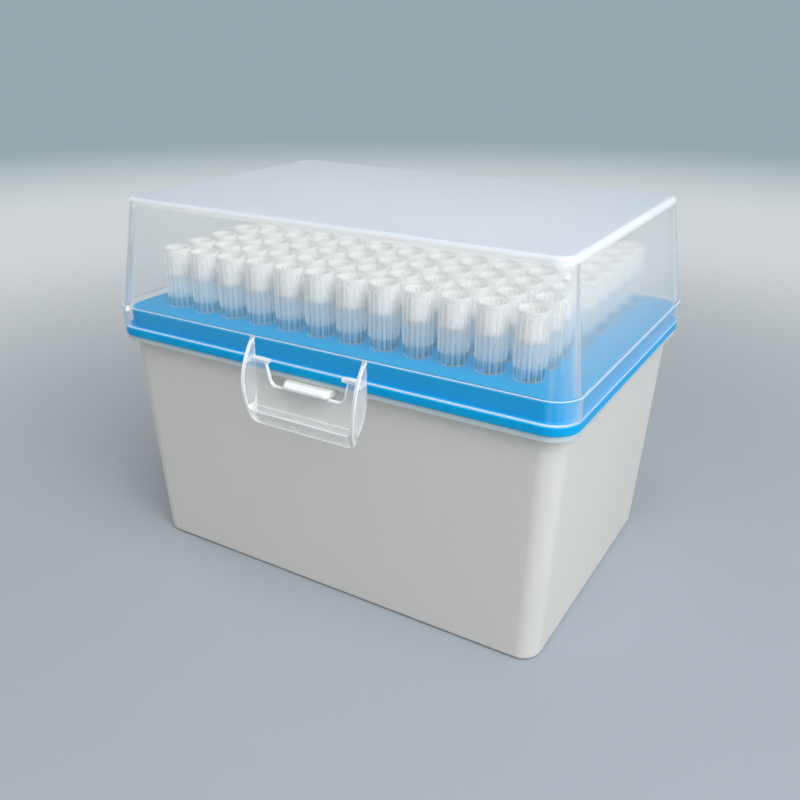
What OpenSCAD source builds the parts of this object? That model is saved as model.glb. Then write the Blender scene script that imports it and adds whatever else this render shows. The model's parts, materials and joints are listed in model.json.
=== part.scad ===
// Hinged-lid box of pipette tips.
// Millimetres, Z up. The origin is the centre of the base's underside, the latch faces -Y
// and the lid's hinge is at +Y.

/* [Overall] */
// Length over the lid's skirt
box_l = 127.6; // [124:0.2:134]
// Width over the lid's skirt
box_w = 86.8; // [84:0.2:92]

/* [Base] */
// Length of the base at its foot
foot_l = 116.4; // [112:0.2:122]
// Width of the base at its foot
foot_w = 78; // [75:0.2:82]
// Corner radius at the foot
foot_r = 4.8; // [3:0.2:7]
// Height of the base up to the seat of the deck
base_h = 61.2; // [56:0.2:66]
// Wall of the base
base_wall = 1.6; // [1.2:0.1:2]
// Floor of the base
base_floor = 1.8; // [1.2:0.1:3]
// Thickness of the rim that carries the deck
rim_t = 1.6; // [1:0.1:2.4]
// How far the rim stands back from the lid's skirt
rim_inset = 0.5; // [0.4:0.1:1]
// How far the skirt overhangs the top of the base's wall
wall_inset = 2.3; // [1.8:0.1:3]

/* [Deck] */
// Thickness of the flange that the lid closes on
flange_t = 2; // [1.4:0.1:2.6]
// How far the flange stands back from the lid's skirt
flange_inset = 0.2; // [0.1:0.1:0.6]
// Height of the deck's top above the base's seat
deck_rise = 6.8; // [6:0.1:8]
// Thickness of the deck
deck_t = 1.6; // [1.2:0.1:2.4]
// Wall around the raised deck
deck_wall = 1.5; // [1:0.1:2]
// Depth of the collar that locates the deck in the base
locator_h = 4.7; // [3:0.1:7]
// Wall of the locating collar
locator_t = 1.4; // [1:0.1:2]

/* [Lid] */
// Height of the lid from its edge to its top
lid_h = 33.2; // [31:0.2:40]
// Length of the lid's top
lid_top_l = 119.2; // [114:0.2:122]
// Width of the lid's top
lid_top_w = 77.8; // [75:0.2:80]
// Wall of the lid
lid_wall = 1.2; // [0.8:0.1:1.4]
// Thickness of the lid's top
lid_top_t = 1.3; // [0.8:0.1:2]
// Height of the skirt below the shoulder
skirt_h = 5.7; // [5.2:0.1:7]
// Width of the shoulder
shoulder_step = 0.7; // [0.4:0.1:1]
// Corner radius of the skirt
skirt_r = 6.7; // [5:0.1:8]
// Corner radius of the lid's top
lid_top_r = 4.4; // [3:0.1:6]
// Rounding of the top edge
top_edge_r = 1.2; // [0.6:0.1:2]

/* [Latch] */
// Width over the latch's cheeks
latch_w = 32.6; // [28:0.2:38]
// Width of the latch at its foot
latch_foot_w = 29.8; // [26:0.2:32]
// Depth of the cheeks at their fullest
latch_depth = 5.1; // [4:0.1:6]
// Radius of the cheeks' curved front edge
cheek_r = 18.4; // [16:0.1:24]
// Height of the latch from its hinge to its foot
latch_h = 21; // [19:0.2:24]
// Thickness of the latch's plate and walls
latch_t = 1; // [0.8:0.1:1.4]
// Radius of the latch's lower corners
latch_r = 2.4; // [1:0.1:4]
// Height above the foot from which the plate sweeps out to the lip
sweep_h = 11; // [9:0.2:12]
// Height of the lip at the foot
lip_h = 4; // [3:0.1:5]
// Width of the window
window_w = 21.8; // [18:0.2:24]
// Radius of the window's lower corners
window_r = 1.6; // [0.8:0.1:2.4]
// How far the plate laps over the lid's skirt
latch_lap = 0.9; // [0.5:0.1:1.5]
// How far the thick upper edges of the plate stand out
web_out = 0.6; // [0.3:0.1:1]

/* [Catch] */
// Width of the catch
catch_w = 13.2; // [10:0.2:15]
// Height of the catch
catch_h = 2.2; // [1.6:0.1:2.6]
// How far the catch stands out past the latch's plate
catch_out = 1; // [0.6:0.1:1.6]
// Height of the catch's underside below the base's seat
catch_drop = 3.2; // [2.8:0.1:3.6]

/* [Hinge] */
// Distance of each hinge from the middle
hinge_x = 38; // [30:0.5:44]
// Distance of the hinge axis behind the skirt
hinge_out = 2.4; // [2.4:0.1:3]
// Depth of the hinge axis below the base's seat
hinge_drop = 0.8; // [0.4:0.1:1.2]
// Diameter of the hinge pins
pin_d = 2.4; // [2:0.1:2.6]
// Width of the lid's clips
clip_w = 7.6; // [6:0.2:12]
// Wall of the clips
clip_wall = 0.8; // [0.6:0.1:0.9]
// Width of the clips' mouth
clip_mouth = 1.9; // [1.6:0.1:2]
// Thickness of the ears that carry the pins
ear_t = 1.6; // [1.2:0.1:2.4]
// How far the clips' arms reach up the skirt
arm_h = 2.8; // [2:0.1:4]

/* [Tips] */
// Distance between neighbouring tips
tip_pitch = 9; // [9:0.1:9.2]
// Length of a tip
tip_len = 75; // [70:0.5:78]
// Height of a tip's rim above the deck
tip_rise = 15.5; // [14:0.1:18]
// Diameter of the rim
rim_d = 7.3; // [7:0.1:7.8]
// Height of the rim's band
rim_h = 1.3; // [0.8:0.1:2]
// Diameter of the collar under the rim
collar_d = 6.7; // [6.5:0.1:6.9]
// Height left between the collar's lower end and the deck
collar_lift = 3; // [2:0.1:5]
// Diameter of the body where it passes the deck
body_d = 5.6; // [5:0.1:5.8]
// Diameter of the body halfway down
waist_d = 3.8; // [3:0.1:4.4]
// Height of the waist below the deck
waist_drop = 30; // [20:1:40]
// Diameter of the lower end
end_d = 1.2; // [1:0.1:1.6]
// Wall of a tip
tip_wall = 0.5; // [0.4:0.05:0.55]
// Bore of the lower end
orifice_d = 0.6; // [0.4:0.1:0.8]
// Ribs around a collar
rib_count = 16; // [8:1:20]
// Thickness of a rib
rib_t = 0.5; // [0.4:0.05:0.7]
// How far the ribs stand out of the collar
rib_out = 0.25; // [0.15:0.05:0.3]

/* [Filters] */
// Height of a filter plug
filter_h = 5.4; // [3:0.1:6]
// Depth of the filter's top below the rim
filter_depth = 1.6; // [1.2:0.1:3]

/* [Fits] */
// Gap between the lid's edge and the flange
lid_gap = 0.1; // [0.05:0.05:0.3]
// Gap between the raised deck and the lid's wall
deck_gap = 0.3; // [0.2:0.05:0.6]
// Gap between the latch and the lid's skirt
latch_gap = 0.15; // [0.1:0.05:0.3]
// Gap between the catch and the window's lower edge
catch_gap = 0.1; // [0.05:0.05:0.2]
// Gap between the locating collar and the base's wall
locator_gap = 0.3; // [0.2:0.05:0.5]
// Play of a tip's body in its hole
hole_gap = 0.15; // [0.1:0.05:0.3]
// Play of the hinge pins in the clips
pin_gap = 0.05; // [0.02:0.01:0.1]
// Play of a clip between its ears
clip_gap = 0.2; // [0.1:0.05:0.4]
// Play of a filter in its tip
filter_gap = 0.03; // [0.02:0.01:0.06]

/* [Quality] */
// Facets of small rounds
small_fn = 24; // [16:4:48]
// Facets of large rounds
large_fn = 32; // [24:4:64]

/* [Hidden] */

// the standard plate layout
tip_cols = 12;
tip_rows = 8;
// thickness of the slices that a drafted block is stretched between
slice = 0.01;

// heights
flange_top = base_h + flange_t;
deck_top = base_h + deck_rise;
lid_edge = flange_top + lid_gap;
lid_top = lid_edge + lid_h;
shoulder_z = lid_edge + skirt_h;
rim_z = deck_top + tip_rise;
tip_end = rim_z - tip_len;

// the base's wall is drafted from the foot to just under the rim
wall_l = box_l - 2 * wall_inset;
wall_w = box_w - 2 * wall_inset;
wall_r = skirt_r - wall_inset / 2;

// the locating collar clears the wall at its lowest, narrowest point
locator_z = base_h - locator_h;
locator_k = locator_z / base_h;
locator_l = foot_l + (wall_l - foot_l) * locator_k - 2 * (base_wall + locator_gap);
locator_w = foot_w + (wall_w - foot_w) * locator_k - 2 * (base_wall + locator_gap);
locator_r = wall_r - base_wall;

// the raised deck clears the foot of the lid's wall
deck_inset = shoulder_step + lid_wall + deck_gap;
deck_r = skirt_r - deck_inset / 2;

// lid
lid_foot_l = box_l - 2 * shoulder_step;
lid_foot_w = box_w - 2 * shoulder_step;
skirt_y = box_w / 2;

// latch: the cheeks' front edge is an arc that leaves the skirt at the hinge
latch_y = -(skirt_y + latch_gap);
latch_hinge_z = shoulder_z;
latch_foot = latch_hinge_z - latch_h;
cheek_sink = cheek_r - latch_depth;
cheek_mid_z = latch_hinge_z - sqrt(cheek_r * cheek_r - cheek_sink * cheek_sink);
latch_plate_top = lid_edge + latch_lap;
sweep_top = latch_foot + sweep_h;
lip_top = latch_foot + lip_h;
catch_z = base_h - catch_drop;
window_z = catch_z - catch_gap;
catch_front = latch_y - latch_t - catch_out;
catch_chamfer = catch_h / 2;

// hinge
hinge_y = skirt_y + hinge_out;
hinge_z = base_h - hinge_drop;
clip_r = pin_d / 2 + pin_gap + clip_wall;
ear_r = pin_d / 2 + clip_wall;
ear_x = clip_w / 2 + clip_gap;

// tips
bore_d = collar_d - 2 * tip_wall;
hole_d = body_d + 2 * hole_gap;
rib_d = collar_d + 2 * rib_out;
collar_z = deck_top + collar_lift;
waist_z = deck_top - waist_drop;
filter_top = rim_z - filter_depth;
filter_seat = filter_top - filter_h;
lead_in = tip_wall / 2;

// how far the cheeks' front edge stands out from the latch's back at a height
function cheek_reach(z) = sqrt(cheek_r * cheek_r - (z - cheek_mid_z) * (z - cheek_mid_z)) - cheek_sink;

// quarter of an ellipse that leaves the plate upright and ends level, as [out, z]
function sweep(near, far, low) = [for (k = [0 : small_fn / 2]) let (a = 180 * k / small_fn)
    [near + (far - near) * (1 - cos(a)), sweep_top - (sweep_top - low) * sin(a)]];

function backwards(points) = [for (k = [len(points) - 1 : -1 : 0]) points[k]];

// the back of the latch below the plate, as [out, z] from the foot up
lip_reach = cheek_reach(lip_top);
latch_back = concat([[max(cheek_reach(latch_foot) - latch_t, 0), latch_foot]],
    backwards(sweep(0, lip_reach - latch_t, lip_top - latch_t)));

// rows are counted from the latch's side
function row_y(row) = (row - (tip_rows - 1) / 2) * tip_pitch;
function col_x(col) = (col - (tip_cols - 1) / 2) * tip_pitch;

// outline with true round corners
module rounded_outline(l, w, r) {
    square([l - 2 * r, w], center = true);
    square([l, w - 2 * r], center = true);
    for (x = [-1, 1], y = [-1, 1])
        translate([x * (l / 2 - r), y * (w / 2 - r)]) circle(r, $fn = large_fn);
}

module rounded_block(l, w, r, z0, z1) {
    translate([0, 0, z0]) linear_extrude(z1 - z0) rounded_outline(l, w, r);
}

// block whose size changes evenly from z0 to z1
module drafted_block(l0, w0, r0, z0, l1, w1, r1, z1) {
    hull() {
        rounded_block(l0, w0, r0, z0, z0 + slice);
        rounded_block(l1, w1, r1, z1 - slice, z1);
    }
}

// a profile drawn as [y, z] points, drawn out along X about the middle
module along_x(w) {
    rotate([90, 0, 90]) linear_extrude(w, center = true) children();
}

module base_shell() {
    difference() {
        union() {
            drafted_block(foot_l, foot_w, foot_r, 0, wall_l, wall_w, wall_r, base_h);
            rounded_block(box_l - 2 * rim_inset, box_w - 2 * rim_inset, skirt_r - rim_inset,
                base_h - rim_t, base_h);
        }
        drafted_block(foot_l - 2 * base_wall, foot_w - 2 * base_wall, foot_r - base_wall, base_floor,
            wall_l - 2 * base_wall, wall_w - 2 * base_wall, wall_r - base_wall, base_h + slice);
    }
}

// bar that stands out through the latch's window, bevelled above and at its ends
module latch_catch() {
    root = -(wall_w / 2 - base_wall / 2);
    intersection() {
        along_x(catch_w) polygon([
            [root, catch_z], [catch_front, catch_z], [catch_front, catch_z + catch_h - catch_chamfer],
            [catch_front + catch_chamfer, catch_z + catch_h], [root, catch_z + catch_h]]);
        translate([0, 0, catch_z]) linear_extrude(catch_h) polygon([
            [-catch_w / 2, root], [-catch_w / 2, catch_front + catch_chamfer],
            [-catch_w / 2 + catch_chamfer, catch_front], [catch_w / 2 - catch_chamfer, catch_front],
            [catch_w / 2, catch_front + catch_chamfer], [catch_w / 2, root]]);
    }
}

// two ears with the pin between them
module hinge_ears() {
    root = wall_w / 2 - base_wall / 2;
    for (side = [-1, 1]) translate([side * (ear_x + ear_t / 2), 0, 0]) {
        translate([-ear_t / 2, root, hinge_z - ear_r])
            cube([ear_t, hinge_y - root, hinge_drop + ear_r]);
        translate([0, hinge_y, hinge_z]) rotate([0, 90, 0])
            cylinder(h = ear_t, r = ear_r, center = true, $fn = large_fn);
    }
    translate([0, hinge_y, hinge_z]) rotate([0, 90, 0])
        cylinder(h = 2 * ear_x + ear_t, d = pin_d, center = true, $fn = large_fn);
}

module base() {
    color([0.86, 0.86, 0.84]) {
        base_shell();
        latch_catch();
        for (side = [-1, 1]) translate([side * hinge_x, 0, 0]) hinge_ears();
    }
}

// raised plate on a flange, with a collar that drops into the base
module deck() {
    flange_l = box_l - 2 * flange_inset;
    flange_w = box_w - 2 * flange_inset;
    raised_l = box_l - 2 * deck_inset;
    raised_w = box_w - 2 * deck_inset;
    color([0.05, 0.55, 0.85]) difference() {
        union() {
            rounded_block(raised_l, raised_w, deck_r, base_h, deck_top);
            rounded_block(flange_l, flange_w, skirt_r - flange_inset, base_h, flange_top);
            rounded_block(locator_l, locator_w, locator_r, locator_z, flange_top);
        }
        rounded_block(raised_l - 2 * deck_wall, raised_w - 2 * deck_wall, deck_r - deck_wall,
            flange_top, deck_top - deck_t);
        rounded_block(locator_l - 2 * locator_t, locator_w - 2 * locator_t, locator_r - locator_t,
            locator_z - 1, flange_top + slice);
        for (row = [0 : tip_rows - 1], col = [0 : tip_cols - 1])
            translate([col_x(col), row_y(row), deck_top - deck_t - 1])
                cylinder(h = deck_t + 2, d = hole_d, $fn = small_fn);
    }
}

module lid_shell() {
    edge_in = top_edge_r * (1 - cos(45));
    difference() {
        union() {
            hull() {
                rounded_block(lid_foot_l, lid_foot_w, skirt_r - shoulder_step,
                    shoulder_z - lid_wall, shoulder_z);
                rounded_block(lid_top_l, lid_top_w, lid_top_r,
                    lid_top - top_edge_r - slice, lid_top - top_edge_r);
                rounded_block(lid_top_l - 2 * edge_in, lid_top_w - 2 * edge_in, lid_top_r - edge_in,
                    lid_top - edge_in - slice, lid_top - edge_in);
                rounded_block(lid_top_l - 2 * top_edge_r, lid_top_w - 2 * top_edge_r,
                    lid_top_r - top_edge_r, lid_top - slice, lid_top);
            }
            rounded_block(box_l, box_w, skirt_r, lid_edge, shoulder_z);
        }
        drafted_block(lid_foot_l - 2 * lid_wall, lid_foot_w - 2 * lid_wall,
            skirt_r - shoulder_step - lid_wall, shoulder_z - lid_wall,
            lid_top_l - 2 * lid_wall, lid_top_w - 2 * lid_wall, lid_top_r - lid_wall,
            lid_top - lid_top_t);
        rounded_block(box_l - 2 * lid_wall, box_w - 2 * lid_wall, skirt_r - lid_wall,
            lid_edge - 1, shoulder_z - lid_wall);
    }
}

// open ring that snaps over a hinge pin, on an arm from the skirt
module hinge_clip() {
    arm_root = skirt_y - lid_wall / 2;
    difference() {
        union() {
            translate([0, hinge_y, hinge_z]) rotate([0, 90, 0])
                cylinder(h = clip_w, r = clip_r, center = true, $fn = large_fn);
            along_x(clip_w) polygon([
                [hinge_y - clip_r, hinge_z], [hinge_y - clip_r, lid_edge], [arm_root, lid_edge],
                [arm_root, lid_edge + arm_h], [skirt_y, lid_edge + arm_h],
                [hinge_y + clip_r, hinge_z + clip_r], [hinge_y + clip_r, hinge_z]]);
        }
        translate([0, hinge_y, hinge_z]) rotate([0, 90, 0])
            cylinder(h = clip_w + 2, d = pin_d + 2 * pin_gap, center = true, $fn = large_fn);
        translate([-clip_w / 2 - 1, hinge_y - clip_mouth / 2, hinge_z - 2 * clip_r])
            cube([clip_w + 2, clip_mouth, 2 * clip_r]);
    }
}

module lid() {
    color([0.85, 0.88, 0.9, 0.4]) {
        lid_shell();
        for (side = [-1, 1]) translate([side * hinge_x, 0, 0]) hinge_clip();
    }
}

// an [x, z] outline from the points of its right side
module both_sides(points) {
    polygon(concat(points, backwards([for (p = points) [-p[0], p[1]]])));
}

// front view of the latch, as [x, z]: straight down to the sweep, then narrower to its round corners
module latch_outline() {
    half = latch_w / 2;
    foot_half = latch_foot_w / 2;
    arc_x = foot_half + (half - foot_half) * latch_r / sweep_h - latch_r;
    both_sides(concat([[half, latch_hinge_z], [half, sweep_top]],
        [for (k = [0 : large_fn / 4]) let (a = 360 * k / large_fn)
            [arc_x + latch_r * cos(a), latch_foot + latch_r * (1 - sin(a))]]));
}

// front view of the space between the cheeks, open above and below
module latch_inside() {
    half = latch_w / 2 - latch_t;
    both_sides([[half, latch_hinge_z + 1], [half, sweep_top],
        [latch_foot_w / 2 - latch_t, latch_foot], [latch_foot_w / 2 - latch_t, latch_foot - 1]]);
}

module window_outline() {
    half = window_w / 2;
    top = latch_hinge_z + 1;
    translate([-half, window_z + window_r]) square([2 * half, top - window_z - window_r]);
    translate([-half + window_r, window_z]) square([2 * half - 2 * window_r, window_r]);
    for (side = [-1, 1])
        translate([side * (half - window_r), window_z + window_r]) circle(window_r, $fn = large_fn);
}

// draws an [x, z] outline out from y = near to y = far, both in front of the box
module outward(near, far) {
    translate([0, near, 0]) rotate([90, 0, 0]) linear_extrude(near - far) children();
}

// draws a section of the latch, as [out, z], along its width
module latch_section(points) {
    along_x(latch_w) polygon([for (p = points) [latch_y - p[0], p[1]]]);
}

// plate with the window, swept out below to a lip that a fingertip pulls
module latch_plate() {
    difference() {
        latch_section(concat([[0, latch_plate_top], [latch_t, latch_plate_top]],
            sweep(latch_t, lip_reach, lip_top), [[lip_reach, latch_foot]], latch_back));
        outward(latch_y + 1, latch_y - 2 * latch_t) window_outline();
    }
}

// side walls that fade out at the hinge
module latch_cheeks() {
    difference() {
        latch_section(concat([[0, latch_hinge_z], [latch_depth, latch_hinge_z],
            [latch_depth, latch_foot]], latch_back));
        outward(latch_y + 1, latch_y - latch_depth - 1) latch_inside();
    }
}

module latch() {
    color([0.88, 0.9, 0.92, 0.5]) {
        intersection() {
            union() {
                latch_plate();
                latch_cheeks();
            }
            outward(latch_y, latch_y - latch_depth) latch_outline();
            translate([0, latch_y + cheek_sink, cheek_mid_z]) rotate([0, 90, 0])
                cylinder(h = latch_w + 2, r = cheek_r, center = true, $fn = 4 * large_fn);
        }
        for (side = [-1, 1])
            translate([side * (window_w + latch_w) / 4, latch_y - (latch_t + web_out) / 2,
                (latch_plate_top + lid_edge) / 2])
                cube([(latch_w - window_w) / 2, latch_t + web_out, latch_lap], center = true);
    }
}

// one ribbed, tapering tip that hangs in the deck by its ribs
module tip() {
    difference() {
        union() {
            rotate_extrude($fn = small_fn) polygon([
                [0, rim_z], [rim_d / 2, rim_z], [rim_d / 2, rim_z - rim_h],
                [collar_d / 2, rim_z - rim_h], [collar_d / 2, collar_z], [body_d / 2, collar_z],
                [body_d / 2, deck_top - deck_t], [waist_d / 2, waist_z], [end_d / 2, tip_end],
                [0, tip_end]]);
            for (k = [0 : rib_count - 1]) rotate([0, 0, (k + 0.5) * 360 / rib_count])
                translate([0, -rib_t / 2, deck_top])
                    cube([rib_d / 2, rib_t, rim_z - rim_h - deck_top + slice]);
        }
        rotate_extrude($fn = small_fn) polygon([
            [0, rim_z + 1], [bore_d / 2 + lead_in, rim_z + 1], [bore_d / 2 + lead_in, rim_z],
            [bore_d / 2, rim_z - 2 * lead_in], [bore_d / 2, filter_seat],
            [body_d / 2 - tip_wall, filter_seat], [body_d / 2 - tip_wall, deck_top - deck_t],
            [waist_d / 2 - tip_wall, waist_z], [orifice_d / 2, tip_end], [orifice_d / 2, tip_end - 1],
            [0, tip_end - 1]]);
    }
}

module tips_row(row) {
    color([0.9, 0.93, 0.95, 0.6])
        for (col = [0 : tip_cols - 1]) translate([col_x(col), row_y(row), 0]) tip();
}

// the porous plugs in one row of tips, each on the step in its tip's bore
module filters_row(row) {
    color([0.97, 0.97, 0.96])
        for (col = [0 : tip_cols - 1]) translate([col_x(col), row_y(row), filter_seat])
            cylinder(h = filter_h, d = bore_d - 2 * filter_gap, $fn = small_fn);
}

base();
deck();
lid();
latch();
tips_row(0);  // tips_row_a
tips_row(1);  // tips_row_b
tips_row(2);  // tips_row_c
tips_row(3);  // tips_row_d
tips_row(4);  // tips_row_e
tips_row(5);  // tips_row_f
tips_row(6);  // tips_row_g
tips_row(7);  // tips_row_h
filters_row(0);  // filters_row_a
filters_row(1);  // filters_row_b
filters_row(2);  // filters_row_c
filters_row(3);  // filters_row_d
filters_row(4);  // filters_row_e
filters_row(5);  // filters_row_f
filters_row(6);  // filters_row_g
filters_row(7);  // filters_row_h
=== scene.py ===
import json
import math
import random
from functools import cached_property

import bmesh
import bpy
from mathutils import Matrix, Vector

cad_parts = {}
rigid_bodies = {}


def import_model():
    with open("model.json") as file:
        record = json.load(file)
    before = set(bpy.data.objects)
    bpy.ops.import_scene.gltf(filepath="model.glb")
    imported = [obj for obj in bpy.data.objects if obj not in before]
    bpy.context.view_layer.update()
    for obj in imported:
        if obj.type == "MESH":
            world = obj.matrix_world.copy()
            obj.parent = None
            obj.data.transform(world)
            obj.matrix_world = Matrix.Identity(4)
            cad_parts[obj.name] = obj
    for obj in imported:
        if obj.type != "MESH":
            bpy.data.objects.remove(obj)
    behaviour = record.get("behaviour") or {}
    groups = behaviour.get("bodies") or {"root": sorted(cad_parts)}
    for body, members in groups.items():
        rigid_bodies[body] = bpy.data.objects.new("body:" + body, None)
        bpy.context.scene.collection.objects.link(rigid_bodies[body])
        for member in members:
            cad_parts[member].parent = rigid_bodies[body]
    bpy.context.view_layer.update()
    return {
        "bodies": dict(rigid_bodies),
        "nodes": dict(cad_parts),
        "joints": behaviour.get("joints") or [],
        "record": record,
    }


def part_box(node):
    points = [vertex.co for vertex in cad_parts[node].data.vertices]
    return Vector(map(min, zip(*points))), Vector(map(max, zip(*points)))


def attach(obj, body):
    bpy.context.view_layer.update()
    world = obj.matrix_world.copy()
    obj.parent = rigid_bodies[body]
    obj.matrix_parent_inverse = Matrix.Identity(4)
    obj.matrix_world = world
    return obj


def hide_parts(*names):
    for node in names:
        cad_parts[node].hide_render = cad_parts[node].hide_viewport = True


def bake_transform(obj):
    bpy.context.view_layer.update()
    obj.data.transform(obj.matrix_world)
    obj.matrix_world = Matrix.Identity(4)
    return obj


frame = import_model()
print("frame loaded:", len(frame["nodes"]), "nodes")

# Hinged-lid box of pipette tips. Lengths are millimetres up to Shape.mesh, which writes metres.
# Z is up, the latch faces -Y and the lid's hinge is at +Y.
mm = 0.001


def nodeBox(node):
    low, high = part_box(node)
    return low / mm, high / mm


# meshes
class Shape:  # points and faces of a piece, in millimetres
    def __init__(self):
        self.points, self.faces = [], []

    def ring(self, points):
        first = len(self.points)
        self.points.extend(points)
        return list(range(first, len(self.points)))

    def band(self, one, two):  # quads between two rings of the same count
        for k in range(len(one)):
            after = (k + 1) % len(one)
            self.faces.append((one[k], one[after], two[after], two[k]))

    def loft(self, rings, capped=True, closed=False):
        made = [self.ring(points) for points in rings]
        for one, two in zip(made, made[1:]):
            self.band(one, two)
        if closed:
            self.band(made[-1], made[0])
        elif capped:
            self.faces += [tuple(reversed(made[0])), tuple(made[-1])]
        return made

    def add(self, other, matrix=None):
        first = len(self.points)
        for point in other.points:
            self.points.append(tuple(matrix @ Vector(point)) if matrix else point)
        self.faces.extend(tuple(first + k for k in face) for face in other.faces)

    def mesh(self, name):
        mesh = bpy.data.meshes.new(name)
        mesh.from_pydata([tuple(c * mm for c in point) for point in self.points], [], self.faces)
        block = bmesh.new()
        block.from_mesh(mesh)
        bmesh.ops.recalc_face_normals(block, faces=block.faces)
        block.to_mesh(mesh)
        block.free()
        return mesh


def roundedRing(halfL, halfW, radius, z, steps=10):  # four round corners, each of steps + 1 points
    points = []
    for quarter, (sx, sy) in enumerate(((1, 1), (-1, 1), (-1, -1), (1, -1))):
        for k in range(steps + 1):
            angle = math.radians(90 * (quarter + k / steps))
            points.append((sx * (halfL - radius) + radius * math.cos(angle),
                           sy * (halfW - radius) + radius * math.sin(angle), z))
    return points


def arcSteps(count):  # (share along, share up) of a quarter round, from its start to its end
    for k in range(count + 1):
        angle = math.radians(90 * k / count)
        yield math.sin(angle), 1 - math.cos(angle)


def rounded(shape, radius, segments=3, sharperThan=20):  # the same solid with its sharp edges rounded
    made = shape.mesh("block")
    block = bmesh.new()
    block.from_mesh(made)
    bpy.data.meshes.remove(made)
    sharp = [e for e in block.edges if e.calc_face_angle(0) > math.radians(sharperThan)]
    bmesh.ops.bevel(block, geom=sharp, offset=radius * mm, segments=segments, profile=0.5,
                    affect="EDGES", clamp_overlap=True)
    result = Shape()
    result.points = [tuple(v.co / mm) for v in block.verts]
    result.faces = [tuple(v.index for v in face.verts) for face in block.faces]
    block.free()
    return result


def prism(outline, low, high, axis, radius=0.0):
    # an outline drawn out along an axis: "x" takes it as [y, z], "y" as [x, z]
    place = {"x": lambda a, b, h: (h, a, b), "y": lambda a, b, h: (a, h, b)}[axis]
    shape = Shape()
    shape.loft([[place(a, b, h) for a, b in outline] for h in (low, high)])
    return rounded(shape, radius, 2, 35) if radius else shape


def cutOut(shape, tool):  # the first shape less the second
    block, cutter = (bpy.data.objects.new("cut", made.mesh("cut")) for made in (shape, tool))
    for holder in (block, cutter):
        bpy.context.scene.collection.objects.link(holder)
    cut = block.modifiers.new("cut", "BOOLEAN")
    cut.operation, cut.object, cut.solver = "DIFFERENCE", cutter, "EXACT"
    left = bpy.data.meshes.new_from_object(block.evaluated_get(bpy.context.evaluated_depsgraph_get()))
    result = Shape()
    result.points = [tuple(v.co / mm) for v in left.vertices]
    result.faces = [tuple(face.vertices) for face in left.polygons]
    for holder in (block, cutter):
        bpy.data.objects.remove(holder)
    bpy.data.meshes.remove(left)
    return result


def tube(path, radius, steps):  # a round rod along a path that never runs along y
    shape, rings = Shape(), []
    for k, point in enumerate(path):
        ahead = (Vector(path[min(k + 1, len(path) - 1)]) - Vector(path[max(k - 1, 0)])).normalized()
        aside = ahead.cross(Vector((0, 1, 0))).normalized()
        across = aside.cross(ahead)
        turns = (2 * math.pi * step / steps for step in range(steps))
        rings.append([tuple(Vector(point) + radius * (math.cos(turn) * aside + math.sin(turn) * across))
                      for turn in turns])
    shape.loft(rings)
    return shape


def arcPoints(centre, radius, start, end, count):  # angles in degrees
    for k in range(count + 1):
        angle = math.radians(start + (end - start) * k / count)
        yield centre[0] + radius * math.cos(angle), centre[1] + radius * math.sin(angle)


facet = {"level": 0.999, "turned": 0.15, "upright": 0.4}  # limits for the parts of a facet's normal


def markRims(mesh, width):
    # "rim" is 1 on narrow facets of rounded edges and ribs, "corner" on the wider ones of upright corners
    block = bmesh.new()
    block.from_mesh(mesh)
    marks = {"rim": [], "corner": []}
    for face in block.faces:
        x, y, z = (abs(part) for part in face.normal)
        narrow = 2 * face.calc_area() / face.calc_perimeter() < width * mm and z < facet["level"]
        turned = min(x, y) > facet["turned"] and z < facet["upright"]
        marks["rim"].append(float(narrow))
        marks["corner"].append(float(turned and not narrow))
    block.free()
    for kind, values in marks.items():
        mesh.attributes.new(kind, "FLOAT", "FACE").data.foreach_set("value", values)


def piece(name, shapes, body, material, replaced, smoothBelow=38, rims=0.0):
    # joins closed shapes into one skin, hangs it on the body it rides on and hides the solids it stands for
    parts = [bpy.data.objects.new(name + "_part", shape.mesh(name)) for shape in shapes]
    for part in parts:
        bpy.context.scene.collection.objects.link(part)
    whole = parts[0]
    for part in parts[1:]:
        cut = whole.modifiers.new("join", "BOOLEAN")
        cut.operation, cut.object, cut.solver = "UNION", part, "EXACT"
    if len(parts) > 1:
        joined = whole.evaluated_get(bpy.context.evaluated_depsgraph_get())
        skin = bpy.data.meshes.new_from_object(joined)
        whole.modifiers.clear()
        whole.data = skin
        for part in parts[1:]:
            bpy.data.objects.remove(part)
    whole.name = name
    whole.data.name = name
    whole.data.materials.clear()
    whole.data.materials.append(material)
    whole.data.polygons.foreach_set("material_index", [0] * len(whole.data.polygons))
    if rims:
        markRims(whole.data, rims)
    whole.data.shade_smooth()
    whole.data.set_sharp_from_angle(angle=math.radians(smoothBelow))
    even = whole.modifiers.new("normals", "WEIGHTED_NORMAL")
    even.keep_sharp = True
    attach(whole, body)
    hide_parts(*replaced)
    print(name, "built:", len(whole.data.polygons), "faces")
    return whole


# materials
class Value:  # a socket that adds and multiplies like a number
    def __init__(self, finish, socket):
        self.finish, self.socket = finish, socket

    def maths(self, operation, *numbers):
        return self.finish.node("Math", {"operation": operation}, dict(enumerate(numbers)))

    def __add__(self, other):
        return self.maths("ADD", self, other)

    def __sub__(self, other):
        return self.maths("SUBTRACT", self, other)

    def __rsub__(self, other):
        return self.maths("SUBTRACT", other, self)

    def __mul__(self, other):
        return self.maths("MULTIPLY", self, other)

    def __pow__(self, other):
        return self.maths("POWER", self, other)

    __radd__, __rmul__ = __add__, __mul__


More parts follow.
